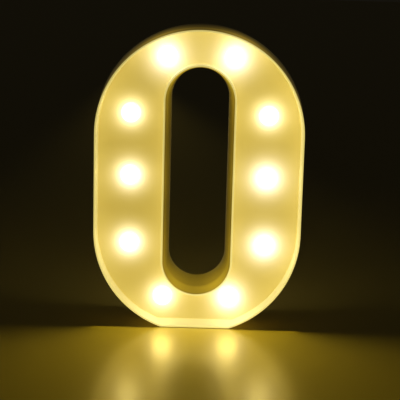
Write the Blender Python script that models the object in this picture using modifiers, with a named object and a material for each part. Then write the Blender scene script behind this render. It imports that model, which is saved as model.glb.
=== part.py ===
"""Battery-powered LED letter light: a moulded stadium-shaped letter that stands on its flat base.

Metres, +Z up, front towards -Y. The origin is the centre of the base, midway between front and back.
Depths are counted from the front edge of the rim towards the back.
"""

import math

import bmesh
import bpy
from mathutils import Matrix, Vector

# Gap that neighbouring pieces keep, and how far a cutter runs past what it cuts.
clearance = 0.0003
overrun = 0.002
weld_distance = 0.00001

# The letter's outline at the front edge.
letter_height = 0.2200
letter_width = 0.1524
letter_depth = 0.0450
base_width = 0.0510
leg_width = 0.0514
top_stroke = 0.0264
bottom_stroke = 0.0262
draft_share = 0.07  # how much each side moves out per unit of depth

# Facets round the outline: the upper end, each lower flank and the base.
end_steps = 30
flank_steps = 12
base_steps = 6

# Shell moulding.
rim_wall = 0.0016
rim_round = 0.0009
panel_thickness = 0.0020
rear_room = 0.0300  # from the panel's front face to the back of the letter
back_wall = 0.0024
cover_lip = 0.0012
cover_thickness = 0.0022

# Lamps: five each side, three of them down each leg.
side_lamp_height_shares = (0.7205, 0.5115, 0.2800)
top_lamp_angle = math.radians(61.0)
bottom_lamp_angle = math.radians(-60.3)
bottom_lamp_rise = 0.0032

# Bulb cap: a frosted dome with a blind bore for its LED.
cap_radius = 0.0070
cap_height = 0.0090
cap_straight = 0.0022
cap_flange_radius = 0.0086
cap_flange_thickness = 0.0012
cap_steps = 16
dome_steps = 4

# LED.
led_radius = 0.0025
led_body_length = 0.0087
led_flange_radius = 0.0029
led_flange_thickness = 0.0010
led_lead_spacing = 0.00254
led_lead_width = 0.0005
led_lead_length = 0.0028
led_steps = 10
led_dome_steps = 3

# Wires.
wire_radius = 0.0006
spans_between_lamps = 4
hook_up_spans = 3
over_top_points = 8

# Cells and their bay.
cell_radius = 0.00715
cell_length = 0.0505
cell_nub_radius = 0.00275
cell_nub_height = 0.0013
cell_edge = 0.0005
cell_side_gap = 0.0004
cell_steps = 20
bay_wall = 0.0020
bay_floor = 0.0014
door_ledge = 0.0010
spring_room = 0.0060

# Contacts.
contact_thickness = 0.0004
contact_width = 0.0090
contact_half_height = 0.0035
solder_tab_width = 0.0025
solder_tab_reach = 0.0025
spring_wire_radius = 0.00035
spring_base_radius = 0.0042
spring_tip_radius = 0.0024
spring_turns = 3.5
spring_points_a_turn = 8

# Battery door.
door_thickness = 0.0016
door_sink = 0.0003
door_round_steps = 6
hinge_tab_width = 0.0034
hinge_tab_thickness = 0.0012
hinge_tab_engagement = 0.0016
hinge_tab_root = 0.0026
tongue_width = 0.0100
tongue_length = 0.0110
tongue_slit = 0.0009
nose_depth = 0.0016
nose_thickness = 0.0012
grip_bar_count = 3
grip_bar_pitch = 0.0020
grip_bar_width = 0.0009
grip_bar_depth = 0.0005

# Screws that hold the cover.
boss_radius = 0.0032
boss_inset = 0.0065
boss_bore_radius = 0.00180
boss_bottom = 0.0010
cup_radius = 0.0044
cup_bore_radius = 0.0033
cup_depth = 0.0071
cup_floor = 0.0016
shoulder_screw_angle = math.radians(42.0)
cover_screw_head_radius = 0.0027
cover_screw_head_height = 0.0018
cover_screw_radius = 0.00145
cover_screw_length = 0.0100
screw_crown_share = 0.70
screw_tip_share = 0.35
screw_steps = 10

# Keyhole hanger.
keyhole_radius = 0.0042
keyhole_slot_radius = 0.0023
keyhole_rise = 0.0075
keyhole_pocket_wall = 0.0012
keyhole_pocket_margin = 0.0014
keyhole_pocket_depth = 0.0036
keyhole_steps = 8

# Slide switch.
knob_travel = 0.0030
knob_length = 0.0040
knob_width = 0.0024
knob_sink = 0.0003
knob_foot_length = 0.0050
knob_foot_width = 0.0034
knob_foot_thickness = 0.0016
switch_recess_length = 0.0150
switch_recess_width = 0.0074
switch_recess_depth = 0.0014
switch_pad_length = 0.0240
switch_pad_width = 0.0110
switch_pad_floor = 0.0020
switch_plate_length = 0.0206
switch_plate_width = 0.0066
switch_plate_thickness = 0.0008
switch_body_length = 0.0108
switch_body_width = 0.0060
switch_body_depth = 0.0057
switch_pocket_depth = 0.0030
terminal_pitch = 0.0030
terminal_width = 0.0014
terminal_thickness = 0.0006
terminal_length = 0.0030
switch_screw_spacing = 0.0154
switch_screw_radius = 0.0008
switch_screw_bore_radius = 0.0011
switch_screw_head_radius = 0.0016
switch_screw_head_height = 0.0011
switch_screw_bite = 0.0019

# Resistor.
resistor_radius = 0.0012
resistor_length = 0.0063
resistor_waist_share = 0.85
resistor_end_share = 0.80
resistor_waist_reach_share = 0.50
resistor_lead_radius = 0.0003
resistor_lead_length = 0.0040
resistor_standoff = 0.0130
resistor_drop = 0.0190

# Outline places that follow from the sizes above.
end_radius = letter_width / 2
hole_radius = end_radius - leg_width
leg_middle = (end_radius + hole_radius) / 2
upper_centre = letter_height - end_radius
lower_centre = math.sqrt(end_radius**2 - (base_width / 2) ** 2)
hole_upper_centre = letter_height - top_stroke - hole_radius
hole_lower_centre = bottom_stroke + hole_radius
leg_middle_height = (hole_upper_centre + hole_lower_centre) / 2

# Depths that follow from the sizes above.
recess_depth = letter_depth - rear_room
panel_back = recess_depth + panel_thickness
resistor_depth = panel_back + resistor_standoff
cover_front = letter_depth - cover_thickness
cover_seat = cover_front - clearance
cap_flange_front = panel_back + clearance
cap_flange_back = cap_flange_front + cap_flange_thickness
led_flange_front = cap_flange_back + clearance
led_flange_back = led_flange_front + led_flange_thickness
led_lead_end = led_flange_back + led_lead_length
lamp_wire_depth = led_lead_end + clearance + wire_radius
door_back = letter_depth - door_sink
door_front = door_back - door_thickness
cell_axis_depth = door_front - cell_side_gap - cell_radius
bay_floor_back = cell_axis_depth - cell_radius - clearance
bay_floor_front = bay_floor_back - bay_floor
cup_front = letter_depth - cup_depth
cup_floor_back = cup_front + cup_floor
boss_end = cup_front - clearance
recess_floor = letter_depth - switch_recess_depth
switch_pad_front = recess_floor - switch_pad_floor
switch_plate_back = switch_pad_front - clearance
switch_plate_front = switch_plate_back - switch_plate_thickness
switch_body_front = switch_plate_front - switch_body_depth
terminal_end = switch_body_front - terminal_length

# The bay, in the leg at -X, and its door.
bay_x = -leg_middle
cell_offset = cell_radius + cell_side_gap / 2
bay_half_width = cell_offset + cell_radius + cell_side_gap
plus_room = clearance + contact_thickness + clearance
bay_length = spring_room + cell_length + plus_room
bay_bottom = leg_middle_height - bay_length / 2
bay_top = leg_middle_height + bay_length / 2
opening_bottom = bay_bottom - door_ledge
opening_top = bay_top + door_ledge
opening_half_width = bay_half_width + door_ledge
door_pivot_depth = (door_front + door_back) / 2
door_pivot_height = opening_bottom + clearance + door_thickness / 2
hinge_tab_back = cover_front - clearance
hinge_tab_front = hinge_tab_back - hinge_tab_thickness
hinge_tab_tip = opening_bottom - (bay_wall - door_ledge) - hinge_tab_engagement
hinge_tab_x = bay_half_width - hinge_tab_width / 2 - clearance
hinge_sweep = math.hypot(door_pivot_depth - hinge_tab_front, door_pivot_height - hinge_tab_tip)
hinge_slot_front = door_pivot_depth - hinge_sweep - clearance

switch_x = leg_middle


def y_at(depth):
    return depth - letter_depth / 2


# Scene and material helpers.


def clear_scene():
    for thing in list(bpy.data.objects):
        bpy.data.objects.remove(thing, do_unlink=True)


def new_collection(name):
    made = bpy.data.collections.new(name)
    bpy.context.scene.collection.children.link(made)
    return made


def plastic(name, colour, roughness, metallic=0.0):
    """A Principled material of one colour."""
    made = bpy.data.materials.new(name)
    made.use_nodes = True
    shader = made.node_tree.nodes["Principled BSDF"]
    shader.inputs["Base Color"].default_value = (*colour, 1.0)
    shader.inputs["Roughness"].default_value = roughness
    shader.inputs["Metallic"].default_value = metallic
    return made


clear_scene()
parts = new_collection("led_letter_light")
helpers = new_collection("cutters")

white_translucent = plastic("white_translucent", (0.93, 0.90, 0.80), 0.35)
white_opaque = plastic("white_opaque", (0.90, 0.89, 0.85), 0.45)
frosted = plastic("frosted", (1.0, 0.93, 0.72), 0.30)
clear_resin = plastic("clear_resin", (0.95, 0.90, 0.70), 0.10)
red_insulation = plastic("red_insulation", (0.60, 0.05, 0.04), 0.50)
black_insulation = plastic("black_insulation", (0.03, 0.03, 0.03), 0.50)
cell_sleeve = plastic("cell_sleeve", (0.12, 0.13, 0.14), 0.35)
nickel = plastic("nickel", (0.75, 0.74, 0.70), 0.25, 1.0)
black_plastic = plastic("black_plastic", (0.02, 0.02, 0.02), 0.40)
zinc_steel = plastic("zinc_steel", (0.60, 0.60, 0.58), 0.35, 1.0)
resistor_enamel = plastic("resistor_enamel", (0.70, 0.55, 0.35), 0.45)


def place(name, mesh, material, collection=None):
    """A new object in the part, or in the collection given."""
    made = bpy.data.objects.new(name, mesh)
    (collection or parts).objects.link(made)
    if material and not mesh.materials:
        mesh.materials.append(material)
    return made


def helper(name, mesh):
    made = place(name, mesh, None, helpers)
    made.hide_render = True
    made.display_type = "WIRE"
    return made


def smooth(mesh, angle=math.radians(35.0)):
    mesh.shade_smooth()
    mesh.set_sharp_from_angle(angle=angle)
    return mesh


def mesh_from(work, name):
    """Closes the bmesh into a mesh with its faces pointing out."""
    bmesh.ops.recalc_face_normals(work, faces=work.faces)
    made = bpy.data.meshes.new(name)
    work.to_mesh(made)
    work.free()
    return made


def boolean(target, operation, cutter, solver="EXACT"):
    """The manifold solver is for the shell, where a round hole's edge can graze the facets' lines."""
    step = target.modifiers.new(cutter.name, "BOOLEAN")
    step.operation = operation
    step.solver = solver
    step.object = cutter


def evaluated_mesh(thing, name):
    """The object's mesh with its modifiers worked in; the object goes."""
    bpy.context.view_layer.update()
    graph = bpy.context.evaluated_depsgraph_get()
    made = bpy.data.meshes.new_from_object(thing.evaluated_get(graph))
    made.name = name
    bpy.data.objects.remove(thing, do_unlink=True)
    return made


# Shape helpers. Boxes and rods are given by their depths and their place on the front view.


def add_box(work, x_range, depth_range, z_range):
    lows = (x_range[0], y_at(depth_range[0]), z_range[0])
    highs = (x_range[1], y_at(depth_range[1]), z_range[1])
    centre = [(low + high) / 2 for low, high in zip(lows, highs)]
    size = [high - low for low, high in zip(lows, highs)]
    matrix = Matrix.Translation(centre) @ Matrix.Diagonal((*size, 1.0))
    bmesh.ops.create_cube(work, size=1.0, matrix=matrix)


def add_rod(work, radius, depth_range, x, z, steps):
    """A cylinder that lies along the depth."""
    length = depth_range[1] - depth_range[0]
    middle = y_at((depth_range[0] + depth_range[1]) / 2)
    turn = Matrix.Rotation(math.radians(90.0), 4, "X")
    bmesh.ops.create_cone(
        work, cap_ends=True, segments=steps, radius1=radius, radius2=radius,
        depth=length, matrix=Matrix.Translation((x, middle, z)) @ turn,
    )


def boxes(name, places):
    work = bmesh.new()
    for x_range, depth_range, z_range in places:
        add_box(work, x_range, depth_range, z_range)
    return mesh_from(work, name)


def rods(name, radius, depth_range, centres, steps):
    work = bmesh.new()
    for x, z in centres:
        add_rod(work, radius, depth_range, x, z, steps)
    return mesh_from(work, name)


def around(centre, half):
    return (centre - half, centre + half)


def loft(name, loops):
    """Joins each loop of points to the next and the last to the first: a moulding's section swept round."""
    work = bmesh.new()
    rings = [[work.verts.new(point) for point in loop] for loop in loops]
    for index, ring in enumerate(rings):
        following = rings[(index + 1) % len(rings)]
        for here, point in enumerate(ring):
            after = (here + 1) % len(ring)
            work.faces.new((point, ring[after], following[after], following[here]))
    return mesh_from(work, name)


def slab(name, outline, thickness):
    """A flat outline in local X and Y, drawn out by half the thickness to each side."""
    curve = bpy.data.curves.new(name, "CURVE")
    curve.dimensions = "2D"
    curve.fill_mode = "BOTH"
    curve.extrude = thickness / 2
    line = curve.splines.new("POLY")
    line.points.add(len(outline) - 1)
    for target, (u, v) in zip(line.points, outline):
        target.co = (u, v, 0.0, 1.0)
    line.use_cyclic_u = True
    guide = bpy.data.objects.new(name, curve)
    helpers.objects.link(guide)
    work = bmesh.new()
    work.from_mesh(evaluated_mesh(guide, name))
    bmesh.ops.remove_doubles(work, verts=work.verts, dist=weld_distance)
    return mesh_from(work, name)


def turned(name, profile, steps):
    """A profile of (radius, height) pairs from the top down, turned about Z."""
    mesh = bpy.data.meshes.new(name)
    points = [(radius, 0.0, height) for radius, height in profile]
    mesh.from_pydata(points, [(here, here + 1) for here in range(len(points) - 1)], [])
    guide = place(name, mesh, None, helpers)
    turn = guide.modifiers.new("turn", "SCREW")
    turn.steps = steps
    turn.render_steps = steps
    turn.use_merge_vertices = True
    turn.merge_threshold = weld_distance
    return smooth(evaluated_mesh(guide, name))


def tube(name, points, radius, material):
    """A round wire through the points, with filled ends."""
    curve = bpy.data.curves.new(name, "CURVE")
    curve.dimensions = "3D"
    curve.bevel_depth = radius
    curve.bevel_resolution = 1
    curve.use_fill_caps = True
    line = curve.splines.new("POLY")
    line.points.add(len(points) - 1)
    for target, point in zip(line.points, points):
        target.co = (*point, 1.0)
    curve.materials.append(material)
    made = bpy.data.objects.new(name, curve)
    parts.objects.link(made)
    return made


def flowing(points, spans):
    """Points on a smooth curve through the points given."""
    ends = [points[0] * 2 - points[1], *points, points[-1] * 2 - points[-2]]
    made = []
    for before, start, end, after in zip(ends, ends[1:], ends[2:], ends[3:]):
        length = (end - start).length
        leave = (end - before).normalized() * length
        arrive = (after - start).normalized() * length
        for step in range(spans):
            t = step / spans
            straight = start * (2 * t**3 - 3 * t**2 + 1) + end * (3 * t**2 - 2 * t**3)
            bend = leave * (t**3 - 2 * t**2 + t) + arrive * (t**3 - t**2)
            made.append(straight + bend)
    return [*made, points[-1]]


# The letter's outline.


def arc(radius, centre, start, end, steps):
    turns = [start + (end - start) * step / steps for step in range(steps + 1)]
    return [(radius * math.cos(turn), centre + radius * math.sin(turn)) for turn in turns]


def in_space(outline, depth):
    return [Vector((x, y_at(depth), z)) for x, z in outline]


def outer_loop(inset, depth):
    """The outer outline at a depth, moved in by inset; the base is flat and has no draft."""
    radius = end_radius + draft_share * depth - inset
    flat_angle = math.acos((lower_centre - inset) / radius)
    bottom = 1.5 * math.pi
    left = arc(radius, lower_centre, math.pi, bottom - flat_angle, flank_steps)
    right = arc(radius, lower_centre, bottom + flat_angle, 2 * math.pi, flank_steps)
    flat_start = left[-1][0]
    flat = [
        (flat_start - 2 * flat_start * step / base_steps, inset)
        for step in range(1, base_steps)
    ]
    top = arc(radius, upper_centre, 0.0, math.pi, end_steps)
    return in_space(top + left + flat + right, depth)


def hole_loop(inset, depth):
    """The middle slot's outline at a depth, moved into the plastic by inset."""
    radius = hole_radius - draft_share * depth + inset
    steps = 2 * flank_steps + base_steps
    top = arc(radius, hole_upper_centre, 0.0, math.pi, end_steps)
    bottom = arc(radius, hole_lower_centre, math.pi, 2 * math.pi, steps)
    return in_space(top + bottom, depth)


def mid_stroke(angle):
    """A point midway between the outer and inner edges, on the upper or the lower end."""
    if math.sin(angle) > 0:
        centre = (upper_centre + hole_upper_centre) / 2
    else:
        centre = (lower_centre + hole_lower_centre) / 2
    return (leg_middle * math.cos(angle), centre + leg_middle * math.sin(angle))


def lamp_chain():
    """Lamp places in wiring order: down the leg at -X, across the base and up the other leg."""
    top_x, top_z = mid_stroke(top_lamp_angle)
    bottom_x, bottom_z = mid_stroke(bottom_lamp_angle)
    side = [(leg_middle, letter_height * share) for share in side_lamp_height_shares]
    one_side = [(top_x, top_z), *side, (bottom_x, bottom_z + bottom_lamp_rise)]
    left = [(-x, z) for x, z in one_side]
    return left + one_side[::-1]


def screw_places():
    """Two screws on each shoulder line and two at each end of the slot."""
    reach = end_radius - boss_inset
    across = reach * math.cos(shoulder_screw_angle)
    rise = reach * math.sin(shoulder_screw_angle)
    beside_hole = hole_radius + boss_inset
    one_side = [
        (across, upper_centre + rise),
        (beside_hole, hole_upper_centre),
        (beside_hole, hole_lower_centre),
        (across, lower_centre - rise),
    ]
    return one_side + [(-x, z) for x, z in one_side]


lamps = lamp_chain()
screws = screw_places()


# Shell: outer wall, slot wall and recessed panel in one moulding.


def make_shell():
    quarter = math.radians(45.0)
    corner_inset = rim_round * (1 - math.cos(quarter))
    corner_depth = rim_round * (1 - math.sin(quarter))
    recess_wall = rim_wall + draft_share * recess_depth
    rim = [
        (0.0, rim_round),
        (corner_inset, corner_depth),
        (rim_round, 0.0),
        (rim_wall, 0.0),
        (recess_wall, recess_depth),
    ]
    rear = [
        (back_wall, panel_back),
        (back_wall, cover_seat),
        (cover_lip, cover_seat),
        (cover_lip, letter_depth),
        (0.0, letter_depth),
    ]
    loops = [outer_loop(inset, depth) for inset, depth in rim]
    loops += [hole_loop(inset, depth) for inset, depth in reversed(rim)]
    loops += [hole_loop(inset, depth) for inset, depth in reversed(rear)]
    loops += [outer_loop(inset, depth) for inset, depth in rear]
    shell = place("letter_shell", smooth(loft("letter_shell", loops)), white_translucent)
    through = (recess_depth - overrun, panel_back + overrun)
    hole = cap_radius + clearance
    holes = helper("bulb_holes", rods("bulb_holes", hole, through, lamps, cap_steps))
    boolean(shell, "DIFFERENCE", holes, "MANIFOLD")
    root = (panel_back - panel_thickness / 2, boss_end)
    bosses = helper("screw_bosses", rods("screw_bosses", boss_radius, root, screws, screw_steps))
    boolean(shell, "UNION", bosses, "MANIFOLD")
    bore = (panel_back + boss_bottom, boss_end + overrun)
    bores = helper("boss_bores", rods("boss_bores", boss_bore_radius, bore, screws, screw_steps))
    boolean(shell, "DIFFERENCE", bores, "MANIFOLD")


# Bulb caps and LEDs.


def facing_front(x, depth, z, roll=0.0):
    """Turns local +Z towards the front, at a place on the front view."""
    turn = Matrix.Rotation(math.radians(90.0), 4, "X") @ Matrix.Rotation(roll, 4, "Z")
    return Matrix.Translation((x, y_at(depth), z)) @ turn


def facing_back(x, depth, z):
    turn = Matrix.Rotation(math.radians(-90.0), 4, "X")
    return Matrix.Translation((x, y_at(depth), z)) @ turn


def make_caps():
    """Heights are counted forward from the panel's front face."""
    dome = cap_height - cap_straight
    profile = []
    for step in range(dome_steps + 1):
        turn = math.pi / 2 * step / dome_steps
        profile.append((cap_radius * math.sin(turn), cap_straight + dome * math.cos(turn)))
    flange_front = recess_depth - cap_flange_front
    flange_back = recess_depth - cap_flange_back
    bore = led_radius + clearance
    bore_top = recess_depth - led_flange_front + led_body_length + clearance
    profile += [
        (cap_radius, flange_front),
        (cap_flange_radius, flange_front),
        (cap_flange_radius, flange_back),
        (bore, flange_back),
        (bore, bore_top),
        (0.0, bore_top),
    ]
    mesh = turned("bulb_cap", profile, cap_steps)
    mesh.materials.append(frosted)
    for index, (x, z) in enumerate(lamps, 1):
        cap = place(f"bulb_cap_{index:02d}", mesh, frosted)
        cap.matrix_world = facing_front(x, recess_depth, z)


def led_mesh():
    """Heights are counted forward from the front face of the LED's flange."""
    straight = led_body_length - led_radius
    profile = []
    for step in range(led_dome_steps + 1):
        turn = math.pi / 2 * step / led_dome_steps
        profile.append((led_radius * math.sin(turn), straight + led_radius * math.cos(turn)))
    profile += [
        (led_radius, 0.0),
        (led_flange_radius, 0.0),
        (led_flange_radius, -led_flange_thickness),
        (0.0, -led_flange_thickness),
    ]
    body = place("led", turned("led", profile, led_steps), None, helpers)
    work = bmesh.new()
    root = -led_flange_thickness / 2
    end = -led_flange_thickness - led_lead_length
    for side in (-1, 1):
        centre = (side * led_lead_spacing / 2, 0.0, (root + end) / 2)
        size = (led_lead_width, led_lead_width, root - end, 1.0)
        matrix = Matrix.Translation(centre) @ Matrix.Diagonal(size)
        bmesh.ops.create_cube(work, size=1.0, matrix=matrix)
    boolean(body, "UNION", helper("led_leads", mesh_from(work, "led_leads")))
    return smooth(evaluated_mesh(body, "led"))


def lamp_directions():
    """The way the wiring runs at each lamp."""
    spots = [Vector(lamp) for lamp in lamps]
    before = [spots[0], *spots[:-1]]
    after = [*spots[1:], spots[-1]]
    return [(end - start).normalized() for start, end in zip(before, after)]


def make_leds():
    mesh = led_mesh()
    mesh.materials.append(clear_resin)
    for index, ((x, z), along) in enumerate(zip(lamps, lamp_directions()), 1):
        led = place(f"led_{index:02d}", mesh, clear_resin)
        roll = math.atan2(along.y, along.x) + math.pi / 2
        led.matrix_world = facing_front(x, led_flange_front, z, roll)


def lamp_wire_points(side):
    """The run of one lamp wire, beside the line from lamp to lamp."""
    beside = []
    for (x, z), along in zip(lamps, lamp_directions()):
        shift = side * led_lead_spacing / 2
        beside.append(Vector((x - along.y * shift, y_at(lamp_wire_depth), z + along.x * shift)))
    return flowing(beside, spans_between_lamps)


# Back cover with its bay, cups, keyhole and switch recess.


def keyhole_outline(centre):
    """A round hole for a screw's head with a narrower slot above it."""
    meet = math.acos(keyhole_slot_radius / keyhole_radius)
    head = arc(keyhole_radius, centre, math.pi - meet, 2 * math.pi + meet, 2 * keyhole_steps)
    slot = arc(keyhole_slot_radius, centre + keyhole_rise, 0.0, math.pi, keyhole_steps)
    return head + slot


def keyhole_height():
    """The keyhole's round part, so that the whole keyhole is centred in the top stroke."""
    middle = letter_height - top_stroke / 2
    top_reach = keyhole_rise + keyhole_slot_radius
    return middle - (top_reach - keyhole_radius) / 2


def keyhole_pocket(margin):
    half_width = keyhole_radius + margin
    low = keyhole_height() - keyhole_radius - margin
    high = keyhole_height() + keyhole_rise + keyhole_slot_radius + margin
    return (-half_width, half_width), (low, high)


def hinge_slots():
    half = hinge_tab_width / 2 + clearance
    low = opening_bottom - (bay_wall - door_ledge) - clearance
    high = bay_bottom + clearance
    places = []
    for side in (-1, 1):
        x = bay_x + side * hinge_tab_x
        places.append((around(x, half), (hinge_slot_front, cover_front + clearance), (low, high)))
    return places


def solder_tab_slots():
    half = solder_tab_width / 2 + clearance
    low = bay_top - clearance
    high = bay_top + bay_wall + clearance
    depths = around(cell_axis_depth, contact_thickness / 2 + clearance)
    return [(around(bay_x + side * cell_offset, half), depths, (low, high)) for side in (-1, 1)]


def make_cover():
    inset = cover_lip + clearance
    loops = [
        outer_loop(inset, cover_front),
        outer_loop(inset, letter_depth),
        hole_loop(inset, letter_depth),
        hole_loop(inset, cover_front),
    ]
    cover = place("back_cover", loft("back_cover", loops), white_opaque)
    into_plate = cover_front + cover_thickness / 2
    past_back = letter_depth + overrun

    bay_outer = bay_half_width + bay_wall
    bay_heights = (bay_bottom - bay_wall, bay_top + bay_wall)
    pocket_x, pocket_z = keyhole_pocket(keyhole_pocket_margin + keyhole_pocket_wall)
    pocket_floor = cover_front - keyhole_pocket_depth
    pad_x = around(switch_x, switch_pad_width / 2)
    pad_z = around(leg_middle_height, switch_pad_length / 2)
    additions = [
        (around(bay_x, bay_outer), (bay_floor_front, into_plate), bay_heights),
        (pocket_x, (pocket_floor - keyhole_pocket_wall, into_plate), pocket_z),
        (pad_x, (switch_pad_front, into_plate), pad_z),
    ]
    boolean(cover, "UNION", helper("cover_boxes", boxes("cover_boxes", additions)))
    cup_range = (cup_front, into_plate)
    cups = rods("screw_cups", cup_radius, cup_range, screws, screw_steps)
    boolean(cover, "UNION", helper("screw_cups", cups))

    pocket_x, pocket_z = keyhole_pocket(keyhole_pocket_margin)
    hollows = [
        (around(bay_x, bay_half_width), (bay_floor_back, past_back), (bay_bottom, bay_top)),
        (pocket_x, (pocket_floor, cover_front), pocket_z),
        (
            around(switch_x, switch_recess_width / 2),
            (recess_floor, past_back),
            around(leg_middle_height, switch_recess_length / 2),
        ),
    ]
    boolean(cover, "DIFFERENCE", helper("cover_hollows", boxes("cover_hollows", hollows)))
    slot_half = knob_length / 2 + knob_travel / 2 + clearance
    openings = [
        (
            around(bay_x, opening_half_width),
            (cover_front, past_back),
            (opening_bottom, opening_top),
        ),
        (
            around(switch_x, knob_width / 2 + clearance),
            (switch_pad_front - overrun, recess_floor + overrun),
            around(leg_middle_height, slot_half),
        ),
    ]
    boolean(cover, "DIFFERENCE", helper("cover_openings", boxes("cover_openings", openings)))
    slots = hinge_slots() + solder_tab_slots()
    boolean(cover, "DIFFERENCE", helper("bay_slots", boxes("bay_slots", slots)))

    near, far = cover_front - clearance, past_back
    keyhole = helper("keyhole", slab("keyhole", keyhole_outline(keyhole_height()), far - near))
    keyhole.matrix_world = facing_front(0.0, (near + far) / 2, 0.0)
    boolean(cover, "DIFFERENCE", keyhole)
    cup_bores = rods("cup_bores", cup_bore_radius, (cup_floor_back, past_back), screws, screw_steps)
    boolean(cover, "DIFFERENCE", helper("cup_bores", cup_bores))
    shank_range = (cup_front - overrun, cup_floor_back + overrun)
    shanks = rods("shank_holes", boss_bore_radius, shank_range, screws, screw_steps)
    boolean(cover, "DIFFERENCE", helper("shank_holes", shanks))
    bite = (switch_pad_front - overrun, switch_pad_front + switch_screw_bite + clearance)
    pilots = rods(
        "switch_pilots", switch_screw_bore_radius, bite, switch_screw_places(), screw_steps
    )
    boolean(cover, "DIFFERENCE", helper("switch_pilots", pilots))


# Screws.


def screw_mesh(name, head_radius, head_height, shank_radius, length):
    """A screw with its head above z = 0 and its shank below."""
    point = shank_radius
    profile = [
        (0.0, head_height),
        (head_radius * screw_crown_share, head_height),
        (head_radius, head_height / 2),
        (head_radius, 0.0),
        (shank_radius, 0.0),
        (shank_radius, point - length),
        (shank_radius * screw_tip_share, -length),
        (0.0, -length),
    ]
    return turned(name, profile, screw_steps)


def make_cover_screws():
    mesh = screw_mesh(
        "cover_screw", cover_screw_head_radius, cover_screw_head_height,
        cover_screw_radius, cover_screw_length,
    )
    for index, (x, z) in enumerate(screws, 1):
        screw = place(f"cover_screw_{index}", mesh, zinc_steel)
        screw.matrix_world = facing_back(x, cup_floor_back + clearance, z)


def switch_screw_places():
    half = switch_screw_spacing / 2
    return [(switch_x, leg_middle_height - half), (switch_x, leg_middle_height + half)]


def make_switch_screws():
    length = clearance + switch_plate_thickness + clearance + switch_screw_bite
    mesh = screw_mesh(
        "switch_screw", switch_screw_head_radius, switch_screw_head_height,
        switch_screw_radius, length,
    )
    for index, (x, z) in enumerate(switch_screw_places(), 1):
        screw = place(f"switch_screw_{index}", mesh, zinc_steel)
        screw.matrix_world = facing_front(x, switch_plate_front - clearance, z)


# Cells and contacts.


def make_cells():
    shoulder = cell_length - cell_nub_height
    profile = [
        (0.0, cell_length),
        (cell_nub_radius, cell_length),
        (cell_nub_radius, shoulder),
        (cell_radius - cell_edge, shoulder),
        (cell_radius, shoulder - cell_edge),
        (cell_radius, cell_edge),
        (cell_radius - cell_edge, 0.0),
        (0.0, 0.0),
    ]
    mesh = turned("battery_cell", profile, cell_steps)
    mesh.materials.append(cell_sleeve)
    y = y_at(cell_axis_depth)
    plus_up = place("battery_cell_1", mesh, cell_sleeve)
    plus_up.location = (bay_x - cell_offset, y, bay_bottom + spring_room)
    plus_down = place("battery_cell_2", mesh, cell_sleeve)
    plus_down.location = (bay_x + cell_offset, y, bay_top - spring_room)
    plus_down.rotation_euler = (math.pi, 0.0, 0.0)


def make_contacts():
    depths = around(cell_axis_depth, contact_half_height)
    bridge_half = cell_offset + contact_width / 2
    low = bay_bottom + clearance
    bridge = boxes(
        "contact_bridge",
        [(around(bay_x, bridge_half), depths, (low, low + contact_thickness))],
    )
    place("contact_bridge", bridge, nickel)
    high = bay_top - clearance
    tab_end = bay_top + bay_wall + solder_tab_reach
    for name, side in (("contact_positive", -1), ("contact_negative", 1)):
        x = bay_x + side * cell_offset
        plate = boxes(
            name, [(around(x, contact_width / 2), depths, (high - contact_thickness, high))]
        )
        contact = place(name, plate, nickel)
        tab = boxes(
            name + "_tab",
            [(
                around(x, solder_tab_width / 2),
                around(cell_axis_depth, contact_thickness / 2),
                (high - contact_thickness / 2, tab_end),
            )],
        )
        boolean(contact, "UNION", helper(name + "_tab", tab))


def spring_points(x, base, tip):
    """A conical coil from its wide base to its narrow tip."""
    count = round(spring_turns * spring_points_a_turn)
    points = []
    for step in range(count + 1):
        share = step / count
        turn = 2 * math.pi * spring_turns * share
        radius = spring_base_radius + (spring_tip_radius - spring_base_radius) * share
        height = base + (tip - base) * share
        y = y_at(cell_axis_depth) + radius * math.sin(turn)
        points.append(Vector((x + radius * math.cos(turn), y, height)))
    return points


def least_gap(points, radius, apart):
    """The least gap from a coil to itself, between points at least so many points apart."""
    spans = [(far - near).length for at, near in enumerate(points) for far in points[at + apart:]]
    return min(spans) - 2 * radius


def make_springs():
    seat = clearance + contact_thickness + clearance + spring_wire_radius
    tip = spring_room - clearance - spring_wire_radius
    lower = spring_points(bay_x - cell_offset, bay_bottom + seat, bay_bottom + tip)
    upper = spring_points(bay_x + cell_offset, bay_top - seat, bay_top - tip)
    tube("contact_spring_lower", lower, spring_wire_radius, nickel)
    tube("contact_spring_upper", upper, spring_wire_radius, nickel)
    gap = least_gap(lower, spring_wire_radius, spring_points_a_turn // 2)
    print(f"least gap between the contact springs' turns: {gap * 1000:.2f} mm")


# Battery door: its lower edge is round about the hinge line, and two tabs reach under the cover.


def door_side_view(points):
    """Points given by depth and height, counted from the hinge line."""
    return [(depth - door_pivot_depth, z - door_pivot_height) for depth, z in points]


def across_door(x):
    """Local X becomes depth, local Y height and local Z the way across, at a place on the hinge line."""
    spin = Matrix.Rotation(math.radians(120.0), 4, Vector((1.0, 1.0, 1.0)))
    return Matrix.Translation((x, y_at(door_pivot_depth), door_pivot_height)) @ spin


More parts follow.
